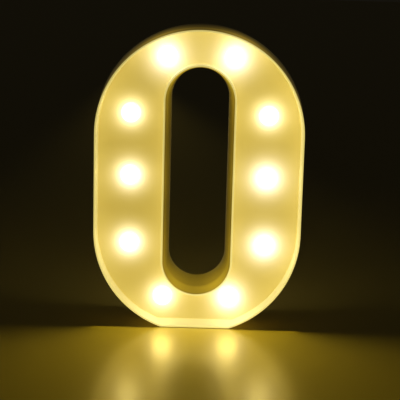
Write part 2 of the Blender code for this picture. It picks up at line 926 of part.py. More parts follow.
def make_door():
    width = 2 * (opening_half_width - clearance)
    top = opening_top - clearance
    radius = door_thickness / 2
    turns = [math.pi * step / door_round_steps for step in range(door_round_steps + 1)]
    edge = [
        (door_pivot_depth + radius * math.cos(turn), door_pivot_height - radius * math.sin(turn))
        for turn in turns
    ]
    outline = door_side_view([*edge, (door_front, top), (door_back, top)])
    door = place("battery_door", slab("battery_door", outline, width), white_opaque)
    door.matrix_world = across_door(bay_x)

    root_top = door_pivot_height + hinge_tab_root
    tab_outline = door_side_view([
        (door_pivot_depth, root_top),
        (hinge_tab_front, root_top - hinge_tab_thickness),
        (hinge_tab_front, hinge_tab_tip),
        (hinge_tab_back, hinge_tab_tip),
        (hinge_tab_back, door_pivot_height),
        (door_pivot_depth, door_pivot_height),
    ])
    for name, side in (("hinge_tab_left", -1), ("hinge_tab_right", 1)):
        tab = helper(name, slab(name, tab_outline, hinge_tab_width))
        tab.matrix_world = across_door(bay_x + side * hinge_tab_x)
        boolean(door, "UNION", tab)

    nose_top = bay_top - clearance
    nose = boxes("latch_nose", [(
        around(bay_x, tongue_width / 2),
        (door_front - nose_depth, door_pivot_depth),
        (nose_top - nose_thickness, nose_top),
    )])
    boolean(door, "UNION", helper("latch_nose", nose))

    past_top = top + overrun
    through = (door_front - nose_depth - overrun, door_back + overrun)
    slits = []
    for side in (-1, 1):
        x = bay_x + side * (tongue_width + tongue_slit) / 2
        slits.append((around(x, tongue_slit / 2), through, (top - tongue_length, past_top)))
    boolean(door, "DIFFERENCE", helper("tongue_slits", boxes("tongue_slits", slits)))
    grooves = []
    for step in range(grip_bar_count):
        z = top - grip_bar_pitch * (step + 1)
        grooves.append((
            around(bay_x, tongue_width / 2 - grip_bar_width),
            (door_back - grip_bar_depth, door_back + overrun),
            around(z, grip_bar_width / 2),
        ))
    boolean(door, "DIFFERENCE", helper("grip_grooves", boxes("grip_grooves", grooves)))


# Slide switch.


def make_switch():
    plate_x = around(switch_x, switch_plate_width / 2)
    body_x = around(switch_x, switch_body_width / 2)
    plate = boxes("switch_body", [(
        plate_x,
        (switch_plate_front, switch_plate_back),
        around(leg_middle_height, switch_plate_length / 2),
    )])
    switch = place("switch_body", plate, black_plastic)
    case = boxes("switch_case", [(
        body_x,
        (switch_body_front, switch_plate_front + switch_plate_thickness / 2),
        around(leg_middle_height, switch_body_length / 2),
    )])
    boolean(switch, "UNION", helper("switch_case", case))
    foot_half = (knob_foot_length + knob_travel) / 2 + clearance
    pocket = boxes("switch_pocket", [(
        around(switch_x, knob_foot_width / 2 + clearance),
        (switch_plate_front - switch_pocket_depth, switch_plate_front),
        around(leg_middle_height, foot_half),
    )])
    boolean(switch, "DIFFERENCE", helper("switch_pocket", pocket))
    slot_half = (knob_length + knob_travel) / 2 + clearance
    slot = boxes("switch_slot", [(
        around(switch_x, knob_width / 2 + clearance),
        (switch_plate_front - clearance, switch_plate_back + overrun),
        around(leg_middle_height, slot_half),
    )])
    boolean(switch, "DIFFERENCE", helper("switch_slot", slot))
    ears = (switch_plate_front - overrun, switch_plate_back + overrun)
    ear_holes = rods(
        "ear_holes", switch_screw_bore_radius, ears, switch_screw_places(), screw_steps
    )
    boolean(switch, "DIFFERENCE", helper("ear_holes", ear_holes))
    pins = []
    for step in (-1, 0, 1):
        pins.append((
            around(switch_x, terminal_width / 2),
            (terminal_end, switch_body_front + terminal_thickness),
            around(leg_middle_height + step * terminal_pitch, terminal_thickness / 2),
        ))
    boolean(switch, "UNION", helper("switch_terminals", boxes("switch_terminals", pins)))


def make_knob():
    """The knob stands at its upper end, which is on; off is one travel lower."""
    middle = leg_middle_height + knob_travel / 2
    foot_back = switch_plate_front - clearance
    foot = boxes("switch_knob", [(
        around(switch_x, knob_foot_width / 2),
        (foot_back - knob_foot_thickness, foot_back),
        around(middle, knob_foot_length / 2),
    )])
    knob = place("switch_knob", foot, black_plastic)
    stem = boxes("knob_stem", [(
        around(switch_x, knob_width / 2),
        (foot_back - knob_foot_thickness / 2, letter_depth - knob_sink),
        around(middle, knob_length / 2),
    )])
    boolean(knob, "UNION", helper("knob_stem", stem))


# Wiring.


def make_resistor():
    """Stands upright beside the switch, in line with its wires."""
    half = resistor_length / 2
    reach = half + resistor_lead_length
    waist = resistor_radius * resistor_waist_share
    waist_end = half * resistor_waist_reach_share
    shoulder = resistor_radius * resistor_end_share
    bulge = half * resistor_end_share
    profile = [
        (0.0, reach),
        (resistor_lead_radius, reach),
        (resistor_lead_radius, half),
        (shoulder, half),
        (resistor_radius, bulge),
        (waist, waist_end),
        (waist, -waist_end),
        (resistor_radius, -bulge),
        (shoulder, -half),
        (resistor_lead_radius, -half),
        (resistor_lead_radius, -reach),
        (0.0, -reach),
    ]
    resistor = place("resistor", turned("resistor", profile, led_steps), resistor_enamel)
    resistor.location = (switch_x, y_at(resistor_depth), leg_middle_height - resistor_drop)


def end_over_wire(lamp_wire, lamp):
    """Where a wire that comes from behind stops on a lamp wire, at one of the lamps."""
    spot = lamp_wire[lamp * spans_between_lamps]
    return spot + Vector((0.0, 2 * wire_radius + clearance, 0.0))


def make_wires():
    positive = lamp_wire_points(-1)
    negative = lamp_wire_points(1)
    tube("lamp_wire_positive", positive, wire_radius, red_insulation)
    tube("lamp_wire_negative", negative, wire_radius, black_insulation)

    terminal_y = y_at(terminal_end) - clearance
    tab_y = y_at(cell_axis_depth)
    tab_end = bay_top + bay_wall + solder_tab_reach + clearance
    lead = 4 * wire_radius

    target = end_over_wire(negative, 1)
    start = Vector((bay_x + cell_offset, tab_y, tab_end))
    route = [
        start,
        start + Vector((0.0, 0.0, lead)),
        (start + target) / 2 + Vector((0.0, lead, lead)),
        target + Vector((0.0, 2 * lead, 0.0)),
        target,
    ]
    tube("wire_battery_to_lamps", flowing(route, hook_up_spans), wire_radius, black_insulation)

    start = Vector((bay_x - cell_offset, tab_y, tab_end))
    end = Vector((switch_x, terminal_y, leg_middle_height + terminal_pitch))
    route = [start, start + Vector((0.0, 0.0, lead))]
    for step in range(over_top_points):
        x, z = mid_stroke(math.pi - math.pi * (step + 0.5) / over_top_points)
        route.append(Vector((x, tab_y, z)))
    route += [
        Vector((switch_x, tab_y - lead, (upper_centre + end.z) / 2)),
        end + Vector((0.0, -2 * lead, lead)),
        end + Vector((0.0, -lead, 0.0)),
        end,
    ]
    tube("wire_battery_to_switch", flowing(route, hook_up_spans), wire_radius, red_insulation)

    lead_top = leg_middle_height - resistor_drop + resistor_length / 2 + resistor_lead_length
    lead_bottom = leg_middle_height - resistor_drop - resistor_length / 2 - resistor_lead_length
    y = y_at(resistor_depth)
    start = Vector((switch_x, terminal_y, leg_middle_height))
    end = Vector((switch_x, y, lead_top + clearance))
    bend = Vector((switch_x, terminal_y - lead, leg_middle_height))
    route = [start, bend, end + Vector((0.0, 0.0, lead)), end]
    tube("wire_switch_to_resistor", flowing(route, hook_up_spans), wire_radius, red_insulation)
    start = Vector((switch_x, y, lead_bottom - clearance))
    target = end_over_wire(positive, 6)
    route = [
        start,
        start - Vector((0.0, 0.0, lead)),
        target + Vector((0.0, lead, lead)),
        target,
    ]
    tube("wire_resistor_to_lamps", flowing(route, hook_up_spans), wire_radius, red_insulation)


make_shell()
make_cover()
make_caps()
make_leds()
make_cells()
make_contacts()
make_springs()
make_door()
make_switch()
make_knob()
make_cover_screws()
make_switch_screws()
make_resistor()
make_wires()
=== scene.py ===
"""Looks of the LED letter light: finely modelled mouldings, procedural materials and their light."""

import math

import bmesh
import bpy
from mathutils import Matrix, Vector


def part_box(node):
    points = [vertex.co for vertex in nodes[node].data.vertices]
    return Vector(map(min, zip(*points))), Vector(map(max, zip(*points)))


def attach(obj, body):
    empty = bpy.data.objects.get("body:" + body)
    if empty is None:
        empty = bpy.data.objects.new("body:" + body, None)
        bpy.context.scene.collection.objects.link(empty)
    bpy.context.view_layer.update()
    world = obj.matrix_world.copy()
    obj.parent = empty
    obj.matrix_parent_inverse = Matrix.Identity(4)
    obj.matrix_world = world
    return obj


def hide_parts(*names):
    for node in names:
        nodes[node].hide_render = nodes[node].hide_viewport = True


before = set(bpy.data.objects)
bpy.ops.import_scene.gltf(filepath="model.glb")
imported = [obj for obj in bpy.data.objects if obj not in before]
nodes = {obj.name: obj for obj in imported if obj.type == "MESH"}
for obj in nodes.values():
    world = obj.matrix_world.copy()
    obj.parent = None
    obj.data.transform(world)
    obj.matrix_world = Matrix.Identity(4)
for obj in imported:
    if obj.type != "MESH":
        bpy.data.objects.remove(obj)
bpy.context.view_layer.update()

# Gap that neighbouring pieces keep, and how far a cutter runs past what it cuts.
clearance = 0.0003
overrun = 0.002

# Sizes read from the frame.
shell_low, shell_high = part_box("letter_shell")
letter_depth = shell_high.y - shell_low.y
draft_share = 0.07
end_radius = shell_high.x - draft_share * letter_depth
letter_height = shell_high.z - draft_share * letter_depth

# Sizes of the outline at the front edge.
base_width = 0.0510
leg_width = 0.0514
top_stroke = 0.0264
bottom_stroke = 0.0262
hole_radius = end_radius - leg_width
leg_middle = (end_radius + hole_radius) / 2
upper_centre = letter_height - end_radius
lower_centre = math.sqrt(end_radius**2 - (base_width / 2) ** 2)
hole_upper_centre = letter_height - top_stroke - hole_radius
hole_lower_centre = bottom_stroke + hole_radius
hole_bottom = hole_lower_centre - hole_radius

# Facets round the outline.
end_steps = 96
flank_steps = 40
base_steps = 8
fillet_steps = 4

# Section of the moulding.
rim_wall = 0.0016
rim_outer_round = 0.0009
rim_inner_round = 0.0004
recess_depth = 0.0150
recess_fillet = 0.0004
panel_thickness = 0.0020
back_wall = 0.0024
cover_lip = 0.0012
rear_round = 0.0003
cover_thickness = 0.0022
cover_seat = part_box("back_cover")[1].y - shell_low.y - cover_thickness - clearance
panel_back = recess_depth + panel_thickness

# Directions in the section, in degrees, for the ends of its rounded corners.
outward = 180.0
forward = 270.0
inward = 360.0
backward = 90.0

# Bosses behind the panel.
boss_radius = 0.0032
boss_bore_radius = 0.0018
boss_end = 0.0376
boss_steps = 24

# Bulb caps.
cap_radius = 0.0070
cap_straight = 0.0022
cap_flange_radius = 0.0086
cap_flange_thickness = 0.0012
cap_bore_radius = 0.0028
cap_steps = 48
dome_steps = 14

# Cover screws: a pan head with a cross recess.
screw_head_height = 0.0018
screw_radius = 0.00145
crown_flat_share = 0.40
head_side_share = 0.35
recess_share = 0.60
wing_length = 0.0030
wing_width = 0.0007
crown_steps = 6
screw_steps = 32
screw_turn = math.radians(37.0)  # each screw is turned on from the one before it

# Small rounding of the edges of the cover, the door and the knob.
edge_round = 0.00025
edge_angle = math.radians(50.0)
edge_segments = 2

quarter_turn = math.radians(90.0)
sharp_angle = math.radians(35.0)  # edges that turn by more than this stay crisp
unit_size = 1.0

lamp_count = 10
screw_count = 8
lamp_names = [f"bulb_cap_{index:02d}" for index in range(1, lamp_count + 1)]
led_names = [f"led_{index:02d}" for index in range(1, lamp_count + 1)]
screw_names = [f"cover_screw_{index}" for index in range(1, screw_count + 1)]


def middle(node):
    low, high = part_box(node)
    return (low + high) / 2


lamps = [(middle(name).x, middle(name).z) for name in lamp_names]
screws = [(middle(name).x, middle(name).z) for name in screw_names]
cap_height = recess_depth + shell_low.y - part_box(lamp_names[0])[0].y


def y_at(depth):
    """Depths are counted from the front edge of the rim."""
    return shell_low.y + depth


# Mesh helpers.


def place(name, mesh):
    made = bpy.data.objects.new(name, mesh)
    bpy.context.scene.collection.objects.link(made)
    return made


def mesh_from(work, name):
    bmesh.ops.recalc_face_normals(work, faces=work.faces)
    made = bpy.data.meshes.new(name)
    work.to_mesh(made)
    work.free()
    return made


def smooth(mesh):
    mesh.shade_smooth()
    mesh.set_sharp_from_angle(angle=sharp_angle)
    return mesh


def arc(radius, centre, start, end, steps):
    turns = [start + (end - start) * step / steps for step in range(steps + 1)]
    return [(radius * math.cos(turn), centre + radius * math.sin(turn)) for turn in turns]


def in_space(outline, depth):
    return [Vector((x, y_at(depth), z)) for x, z in outline]


def outer_loop(inset, depth):
    """The outer outline at a depth, moved in by inset; the base is flat and has no draft."""
    radius = end_radius + draft_share * depth - inset
    flat_angle = math.acos((lower_centre - inset) / radius)
    bottom = 1.5 * math.pi
    left = arc(radius, lower_centre, math.pi, bottom - flat_angle, flank_steps)
    right = arc(radius, lower_centre, bottom + flat_angle, 2 * math.pi, flank_steps)
    flat_start = left[-1][0]
    flat = [
        (flat_start - 2 * flat_start * step / base_steps, inset)
        for step in range(1, base_steps)
    ]
    top = arc(radius, upper_centre, 0.0, math.pi, end_steps)
    return in_space(top + left + flat + right, depth)


def hole_loop(inset, depth):
    """The middle slot's outline at a depth, moved into the plastic by inset."""
    radius = hole_radius - draft_share * depth + inset
    steps = 2 * flank_steps + base_steps
    top = arc(radius, hole_upper_centre, 0.0, math.pi, end_steps)
    bottom = arc(radius, hole_lower_centre, math.pi, 2 * math.pi, steps)
    return in_space(top + bottom, depth)


def loft(name, rows):
    """Joins each loop to the next and the last to the first; a row is a loop and its faces' material."""
    work = bmesh.new()
    rings = [[work.verts.new(point) for point in loop] for loop, _ in rows]
    for index, ring in enumerate(rings):
        following = rings[(index + 1) % len(rings)]
        for here, point in enumerate(ring):
            after = (here + 1) % len(ring)
            face = work.faces.new((point, ring[after], following[after], following[here]))
            face.material_index = rows[index][1]
    return mesh_from(work, name)


def rods(name, radius, depth_range, centres, steps):
    """One round rod along the depth at each centre."""
    work = bmesh.new()
    length = depth_range[1] - depth_range[0]
    y = y_at(sum(depth_range) / 2)
    turn = Matrix.Rotation(quarter_turn, 4, "X")
    for x, z in centres:
        bmesh.ops.create_cone(
            work, cap_ends=True, segments=steps, radius1=radius, radius2=radius,
            depth=length, matrix=Matrix.Translation((x, y, z)) @ turn,
        )
    return mesh_from(work, name)


def cut(target, operation, mesh):
    """Works the mesh into the target for good."""
    cutter = place(mesh.name, mesh)
    step = target.modifiers.new(mesh.name, "BOOLEAN")
    step.operation = operation
    step.solver = "MANIFOLD"
    step.object = cutter
    bpy.context.view_layer.update()
    graph = bpy.context.evaluated_depsgraph_get()
    made = bpy.data.meshes.new_from_object(target.evaluated_get(graph))
    target.modifiers.clear()
    target.data = made
    bpy.data.objects.remove(cutter, do_unlink=True)


def turned(name, profile, steps):
    """A profile of (radius, height) pairs turned about Z; points on the axis are shared."""
    work = bmesh.new()
    turns = [2 * math.pi * step / steps for step in range(steps)]
    rings = []
    for radius, height in profile:
        if radius == 0.0:
            rings.append([work.verts.new((0.0, 0.0, height))])
            continue
        ring = [(radius * math.cos(turn), radius * math.sin(turn), height) for turn in turns]
        rings.append([work.verts.new(point) for point in ring])
    for upper, lower in zip(rings, rings[1:]):
        for here in range(steps):
            after = (here + 1) % steps
            corners = [
                upper[here % len(upper)], upper[after % len(upper)],
                lower[after % len(lower)], lower[here % len(lower)],
            ]
            work.faces.new(list(dict.fromkeys(corners)))
    return smooth(mesh_from(work, name))


# Shader helpers. Grains are noise scales, so a larger grain is a finer one.

noise_detail = 2.0
fine_detail = 3.0
cloud_ratio = 12  # the broad noise of a surface is this many times coarser than its grain
cloud_low_share = 0.2
cloud_high_share = 0.8
roughness_variation_share = 0.15


def new_material(name):
    made = bpy.data.materials.new(name)
    made.use_nodes = True
    return made, made.node_tree, made.node_tree.nodes["Principled BSDF"]


def set_sockets(shader, look):
    for socket, value in look.items():
        shader.inputs[socket].default_value = value


def feed(tree, socket, value):
    if isinstance(value, bpy.types.NodeSocket):
        tree.links.new(value, socket)
    else:
        socket.default_value = value


def number(tree, operation, *values):
    made = tree.nodes.new("ShaderNodeMath")
    made.operation = operation
    for socket, value in zip(made.inputs, values):
        feed(tree, socket, value)
    return made.outputs[0]


def scaled(tree, colour, amount):
    made = tree.nodes.new("ShaderNodeVectorMath")
    made.operation = "SCALE"
    feed(tree, made.inputs[0], colour)
    feed(tree, made.inputs["Scale"], amount)
    return made.outputs[0]


def added(tree, first, second):
    made = tree.nodes.new("ShaderNodeVectorMath")
    made.operation = "ADD"
    feed(tree, made.inputs[0], first)
    feed(tree, made.inputs[1], second)
    return made.outputs[0]


def ramp(tree, value, start, end, low=0.0, high=1.0):
    """Goes smoothly from low to high as value goes from start to end."""
    made = tree.nodes.new("ShaderNodeMapRange")
    made.interpolation_type = "SMOOTHSTEP"
    feed(tree, made.inputs["Value"], value)
    for socket, given in zip(made.inputs[1:5], (start, end, low, high)):
        feed(tree, socket, given)
    return made.outputs["Result"]


def clouded(tree, cloud, low, high):
    """Goes from low to high over the middle of a noise's range."""
    return ramp(tree, cloud, cloud_low_share, cloud_high_share, low, high)


def noise(tree, grain, detail=noise_detail):
    made = tree.nodes.new("ShaderNodeTexNoise")
    place_at = tree.nodes.new("ShaderNodeTexCoord").outputs["Object"]
    tree.links.new(place_at, made.inputs["Vector"])
    made.inputs["Scale"].default_value = grain
    made.inputs["Detail"].default_value = detail
    return made.outputs["Fac"]


def mixed(tree, amount, first, second):
    made = tree.nodes.new("ShaderNodeMix")
    made.data_type = "RGBA"
    feed(tree, made.inputs[0], amount)
    feed(tree, made.inputs[6], first)
    feed(tree, made.inputs[7], second)
    return made.outputs[2]


def bump(tree, shader, height, distance):
    made = tree.nodes.new("ShaderNodeBump")
    made.inputs["Distance"].default_value = distance
    tree.links.new(height, made.inputs["Height"])
    tree.links.new(made.outputs[0], shader.inputs["Normal"])


def opaque(colour):
    return (*colour, 1.0)


def shade(colour, share):
    return opaque(channel * share for channel in colour)


def mottled(tree, cloud, colour, variation_share):
    """The colour, a little darker and lighter from place to place."""
    return mixed(tree, cloud, shade(colour, 1 - variation_share), shade(colour, 1 + variation_share))


# Light from the bulbs, as it shows on the plastic, painted on as emission.

halo_reach = 0.0055
core_reach = 0.0037
wall_reach = 0.0100
panel_glow = (0.368, 0.252, 0.023)
halo_glow = (2.2, 1.96, 0.58)
core_glow = (1.4, 1.80, 4.7)
recess_wall_glow = (0.265, 0.235, 0.095)
rim_glow = (0.66, 0.545, 0.155)
rim_halo_glow = (1.7, 1.7, 1.10)
side_glow = (0.008, 0.004, 0.0)
side_halo_glow = (0.72, 0.47, 0.05)
slot_glow = (0.018, 0.010, 0.0)
slot_halo_glow = (1.36, 0.90, 0.05)
# The painted light grows a little towards the right everywhere, and on the rim and recess wall it is
# stronger at the foot than at the head.
right_side_gain = 0.065
foot_gain = 1.22
head_gain = 0.92

# How bright the painted light of each bulb is on the sides, slot, rim and recess wall, against the
# average, in the order of the caps; such bulbs vary.
lamp_strength_shares = (1.42, 0.68, 1.04, 1.12, 1.00, 1.22, 1.24, 1.34, 0.80, 1.38)

# The halo of each bulb on the panel: its strength and its width against the average, in the same order.
halo_strength_shares = (0.67, 0.91, 1.03, 1.04, 0.90, 0.86, 0.79, 0.76, 0.97, 0.68)
halo_width_shares = (1.33, 0.91, 1.01, 1.03, 0.98, 1.16, 1.23, 1.27, 0.89, 1.30)
even_shares = (1.0,) * len(lamps)
halo_drop = 0.0006  # the brightest spot lies this much below the bulb's axis

# Where the lit part of the sides ends, and how much light is left behind it and at the back edge; over
# the lip at the front edge the painted light is weaker.
side_edge_start = 0.0140
side_edge_end = 0.0195
side_rear_share = 0.46
slot_rear_share = 0.56
side_end_share = 0.10
slot_foot_end_share = 0.62
slot_end_share = 0.05
lip_depth = 0.0030
lip_share = 0.70

# The white plastic itself.
plastic_colour = (0.78, 0.74, 0.62)
plastic_variation_share = 0.04
plastic_cloud_grain = 60.0
plastic_grain = 1400.0
plastic_relief = 0.000012
plastic_roughness_low = 0.30
plastic_roughness_high = 0.38


def position(tree):
    made = tree.nodes.new("ShaderNodeSeparateXYZ")
    tree.links.new(tree.nodes.new("ShaderNodeTexCoord").outputs["Object"], made.inputs[0])
    return made.outputs


def lamp_distances(tree):
    """The distance from the lamp's axis, for each lamp."""
    x, _, z = position(tree)
    flat = tree.nodes.new("ShaderNodeCombineXYZ")
    tree.links.new(x, flat.inputs["X"])
    tree.links.new(z, flat.inputs["Z"])
    distances = []
    for lamp_x, lamp_z in lamps:
        made = tree.nodes.new("ShaderNodeVectorMath")
        made.operation = "DISTANCE"
        tree.links.new(flat.outputs[0], made.inputs[0])
        made.inputs[1].default_value = (lamp_x, 0.0, lamp_z - halo_drop)
        distances.append(made.outputs["Value"])
    return distances


def nearness(tree, distances, reach, strength_shares=lamp_strength_shares, width_shares=even_shares):
    """The sum over the lamps of a share that falls off with the distance from each."""
    total = 0.0
    for distance, strength, width in zip(distances, strength_shares, width_shares):
        share = number(tree, "EXPONENT", number(tree, "MULTIPLY", distance, -1.0 / (reach * width)))
        total = number(tree, "MULTIPLY_ADD", share, strength, total)
    return total


def panel_light(tree, distances):
    halo = nearness(tree, distances, halo_reach, halo_strength_shares, halo_width_shares)
    core = nearness(tree, distances, core_reach, halo_strength_shares, halo_width_shares)
    glow = added(tree, panel_glow, scaled(tree, halo_glow, halo))
    return added(tree, glow, scaled(tree, core_glow, core))


def side_fades(tree, kind, y, z):
    """How the light falls off over the depth of the outer side or of the slot's wall."""
    if kind == "side":
        rear_share = side_rear_share
        end_share = side_end_share
    else:
        rear_share = slot_rear_share
        end_share = ramp(tree, z, hole_bottom, hole_lower_centre, slot_foot_end_share, slot_end_share)
    depth = number(tree, "SUBTRACT", y, shell_low.y)
    step = ramp(tree, depth, side_edge_start, side_edge_end, 1.0, rear_share)
    fade = ramp(tree, depth, side_edge_end, letter_depth, 1.0, end_share)
    lip = ramp(tree, depth, 0.0, lip_depth, lip_share, 1.0)
    return step, fade, lip


def lit_plastic(name, kind):
    """The shell's translucent white with the bulbs' light painted into it as emission: side, slot, rim,
    wall or panel.
    """
    made, tree, shader = new_material(name)
    cloud = noise(tree, plastic_cloud_grain)
    fine = noise(tree, plastic_grain, fine_detail)
    colour = mottled(tree, cloud, plastic_colour, plastic_variation_share)
    tree.links.new(colour, shader.inputs["Base Color"])
    roughness = clouded(tree, cloud, plastic_roughness_low, plastic_roughness_high)
    tree.links.new(roughness, shader.inputs["Roughness"])
    bump(tree, shader, fine, plastic_relief)
    x, y, z = position(tree)
    distances = lamp_distances(tree)
    gain = number(tree, "MULTIPLY_ADD", x, right_side_gain / leg_middle, 1.0)
    if kind == "panel":
        glow = panel_light(tree, distances)
    elif kind in ("side", "slot"):
        plain, halo = (side_glow, side_halo_glow) if kind == "side" else (slot_glow, slot_halo_glow)
        glow = added(tree, plain, scaled(tree, halo, nearness(tree, distances, wall_reach)))
        for share in side_fades(tree, kind, y, z):
            gain = number(tree, "MULTIPLY", gain, share)
    else:
        plain = rim_glow if kind == "rim" else recess_wall_glow
        glow = added(tree, plain, scaled(tree, rim_halo_glow, nearness(tree, distances, halo_reach)))
        gain = number(tree, "MULTIPLY", gain, ramp(tree, z, 0.0, letter_height, foot_gain, head_gain))
    tree.links.new(scaled(tree, glow, gain), shader.inputs["Emission Color"])
    set_sockets(shader, {"Emission Strength": 1.0})
    return made


# Shell.


def corner(inset, depth, radius, start, end):
    """A rounded corner of the section: points on an arc about (inset, depth)."""
    steps = range(fillet_steps + 1)
    turns = [math.radians(start + (end - start) * step / fillet_steps) for step in steps]
    return [(inset + radius * math.cos(turn), depth + radius * math.sin(turn)) for turn in turns]


def make_shell():
    wall_end = rim_wall + draft_share * recess_depth
    inner_start = rim_wall - rim_inner_round
    rim = corner(rim_outer_round, rim_outer_round, rim_outer_round, outward, forward)
    rim += corner(inner_start, rim_inner_round, rim_inner_round, forward, inward)
    foot_inset = wall_end + recess_fillet
    foot = corner(foot_inset, recess_depth - recess_fillet, recess_fillet, outward, backward)
    rear = [
        (back_wall, panel_back),
        (back_wall, cover_seat),
        (cover_lip, cover_seat),
        (cover_lip, letter_depth - rear_round),
        (cover_lip - rear_round, letter_depth),
        (rear_round, letter_depth),
        (0.0, letter_depth - rear_round),
    ]
    kinds = ("side", "slot", "rim", "wall", "panel")
    side, slot, lip, wall, panel = range(len(kinds))
    front = rim + foot
    outer_half = fillet_steps // 2
    front_kinds = [side] * outer_half + [lip] * (len(rim) - 1 - outer_half) + [wall]
    front_kinds += [panel] * len(foot)
    rows = [(outer_loop(*point), kind) for point, kind in zip(front, front_kinds)]
    hole_kinds = [slot if kind == side else kind for kind in front_kinds[-2::-1]] + [slot]
    rows += [(hole_loop(*point), kind) for point, kind in zip(reversed(front), hole_kinds)]
    rows += [(hole_loop(*point), slot) for point in reversed(rear)]
    rows += [(outer_loop(*point), side) for point in rear]
    shell = place("letter_moulding", smooth(loft("letter_moulding", rows)))
    for kind in kinds:
        shell.data.materials.append(lit_plastic("letter_" + kind, kind))
    hole_range = (recess_depth - overrun, panel_back + overrun)
    cut(shell, "DIFFERENCE", rods("bulb_holes", cap_radius + clearance, hole_range, lamps, cap_steps))
    boss_range = (panel_back - panel_thickness / 2, boss_end)
    cut(shell, "UNION", rods("bosses", boss_radius, boss_range, screws, boss_steps))
    bore_range = (panel_back + panel_thickness / 2, boss_end + overrun)
    cut(shell, "DIFFERENCE", rods("boss_bores", boss_bore_radius, bore_range, screws, boss_steps))
    smooth(shell.data)
    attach(shell, "letter")
    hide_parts("letter_shell")


# Bulb caps.

cap_look = {
    "Base Color": (0.95, 0.90, 0.74, 1.0),
    "Roughness": 0.45,
    "Emission Strength": 1.0,
}
cap_foot_glow = (4.0, 3.2, 0.56)
cap_tip_glow = (5.2, 4.2, 1.65)
cap_grain = 2600.0
cap_relief = 0.00001


def cap_material():
    """Frosted and lit: white over the LED and warmer towards the panel."""
    made, tree, shader = new_material("frosted_cap")
    set_sockets(shader, cap_look)
    bump(tree, shader, noise(tree, cap_grain, fine_detail), cap_relief)
    height = position(tree)[2]
    tip = ramp(tree, height, 0.0, cap_height)
    glow = mixed(tree, tip, opaque(cap_foot_glow), opaque(cap_tip_glow))
    tree.links.new(glow, shader.inputs["Emission Color"])
    return made


def make_caps():
    """Heights are counted forward from the panel's front face."""
    dome = cap_height - cap_straight
    profile = []
    for step in range(dome_steps + 1):
        turn = math.pi / 2 * step / dome_steps
        profile.append((cap_radius * math.sin(turn), cap_straight + dome * math.cos(turn)))
    flange_front = -panel_thickness - clearance
    flange_back = flange_front - cap_flange_thickness
    bore_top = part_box("led_01")[0].y
    bore_height = y_at(recess_depth) - bore_top + clearance
    profile += [
        (cap_radius, flange_front),
        (cap_flange_radius, flange_front),
        (cap_flange_radius, flange_back),
        (cap_bore_radius, flange_back),
        (cap_bore_radius, bore_height),
        (0.0, bore_height),
    ]
    mesh = turned("frosted_cap", profile, cap_steps)
    mesh.materials.append(cap_material())
    for name, (x, z) in zip(lamp_names, lamps):
        cap = place("frosted_" + name, mesh)
        turn = Matrix.Rotation(quarter_turn, 4, "X")
        cap.matrix_world = Matrix.Translation((x, y_at(recess_depth), z)) @ turn
        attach(cap, "letter")
        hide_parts(name)


# Moulded, drawn and plated surfaces: colour, roughness, grain and relief in metres.

cover_colour = (0.80, 0.78, 0.71)
cover_roughness = 0.52
cover_grain = 1500.0
cover_relief = 0.00003
cover_variation_share = 0.03

zinc_colour = (0.58, 0.58, 0.56)
zinc_roughness = 0.34
zinc_grain = 900.0
zinc_relief = 0.00001

bright_zinc_colour = (0.62, 0.61, 0.58)
bright_zinc_roughness = 0.30
bright_zinc_grain = 1400.0
bright_zinc_relief = 0.000008

nickel_colour = (0.72, 0.70, 0.66)
nickel_roughness = 0.26
nickel_grain = 700.0
nickel_relief = 0.000006

switch_colour = (0.022, 0.022, 0.024)
switch_roughness = 0.42
switch_grain = 1800.0

resistor_colour = (0.62, 0.46, 0.27)
resistor_roughness = 0.40
resistor_grain = 1500.0

red_sleeve_colour = (0.50, 0.03, 0.02)
black_sleeve_colour = (0.025, 0.025, 0.025)
wire_roughness = 0.38
wire_grain = 1200.0

usual_relief = 0.00002
usual_variation_share = 0.06


def surface(
    name, colour, roughness, grain, relief=usual_relief, metallic=0.0,
    variation_share=usual_variation_share,
):
    """A little uneven in colour, gloss and relief."""
    made, tree, shader = new_material(name)
    cloud = noise(tree, grain / cloud_ratio)
    tree.links.new(mottled(tree, cloud, colour, variation_share), shader.inputs["Base Color"])
    smoothest = roughness * (1 - roughness_variation_share)
    roughest = roughness * (1 + roughness_variation_share)
    tree.links.new(clouded(tree, cloud, smoothest, roughest), shader.inputs["Roughness"])
    set_sockets(shader, {"Metallic": metallic})
    bump(tree, shader, noise(tree, grain), relief)
    return made


# Screws in the back cover.


def screw_mesh(radius, length):
    """A pan head with a cross recess and its shank; heights run backwards from under the head."""
    profile = [(0.0, screw_head_height)]
    for step in range(crown_steps + 1):
        turn = math.pi / 2 * step / crown_steps
        across = crown_flat_share + (1 - crown_flat_share) * math.sin(turn)
        up = head_side_share + (1 - head_side_share) * math.cos(turn)
        profile.append((radius * across, screw_head_height * up))
    tip = screw_head_height - length
    profile += [
        (radius, 0.0),
        (screw_radius, 0.0),
        (screw_radius, tip + screw_radius),
        (0.0, tip),
    ]
    screw = place("pan_head_screw", turned("pan_head_screw", profile, screw_steps))
    deep = 2 * recess_share * screw_head_height
    lift = Matrix.Translation((0.0, 0.0, screw_head_height))
    for sizes in ((wing_length, wing_width, deep), (wing_width, wing_length, deep)):
        work = bmesh.new()
        scale = Matrix.Diagonal((*sizes, 1.0))
        bmesh.ops.create_cube(work, size=unit_size, matrix=lift @ scale)
        cut(screw, "DIFFERENCE", mesh_from(work, "cross_recess"))
    made = smooth(screw.data)
    bpy.data.objects.remove(screw, do_unlink=True)
    return made


